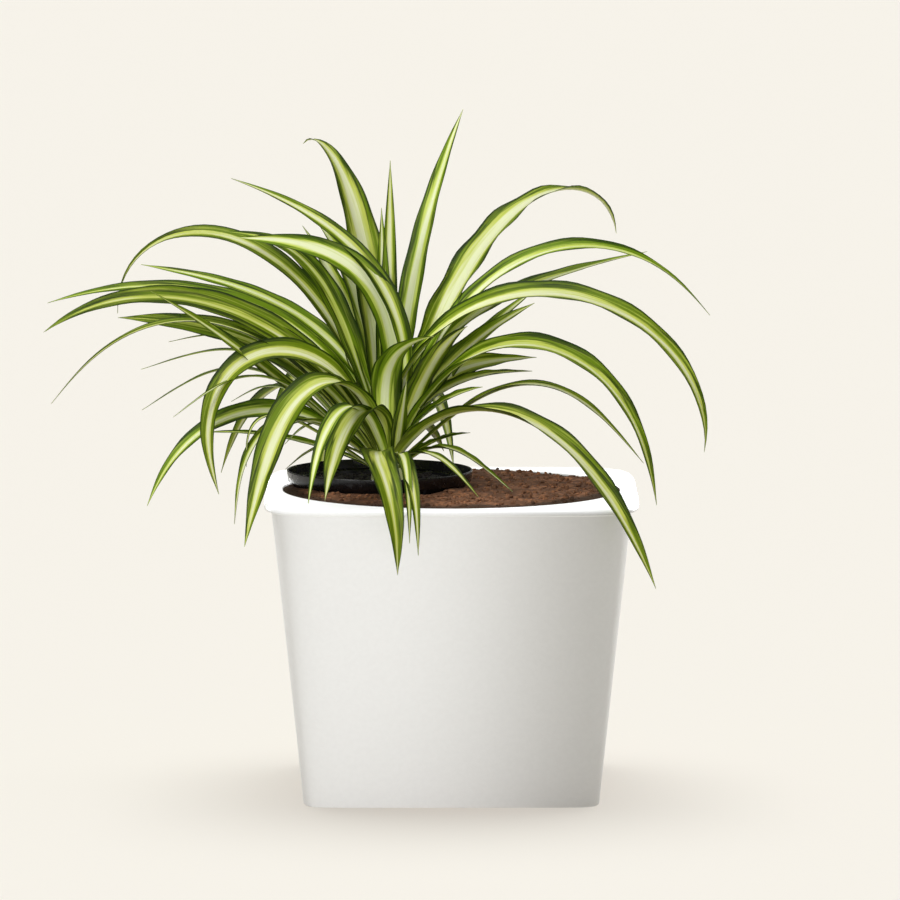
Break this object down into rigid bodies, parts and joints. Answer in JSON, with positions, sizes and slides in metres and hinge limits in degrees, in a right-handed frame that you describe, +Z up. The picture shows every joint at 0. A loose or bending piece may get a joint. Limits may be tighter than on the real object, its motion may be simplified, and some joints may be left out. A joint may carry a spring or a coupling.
{
  "type": "potted spider plant",
  "caption": "Square tapered white planter with a round soil-filled mouth, holding a round nursery pot with an arching, striped-leaf spider plant.",
  "frame": {"origin": "middle of the planter's flat base, on the surface that it stands on", "axes": "+Z up, the flat front side faces -Y, +X to the right as the picture shows it"},
  "size_m": [0.4533, 0.338, 0.4557],
  "materials": {
    "planter": "satin off-white moulded planter",
    "soil": "loose brown soil, matt",
    "nursery_pot": "thin glossy black plastic",
    "potting_mix": "dark damp potting mix, matt",
    "leaves": "green leaves with a cream middle stripe, slightly waxy"
  },
  "bodies": {
    "root": {"planter": "planter", "soil_bed": "soil", "nursery_pot": "nursery_pot", "potting_mix": "potting_mix", "spider_plant": "leaves"}
  },
  "joints": []
}
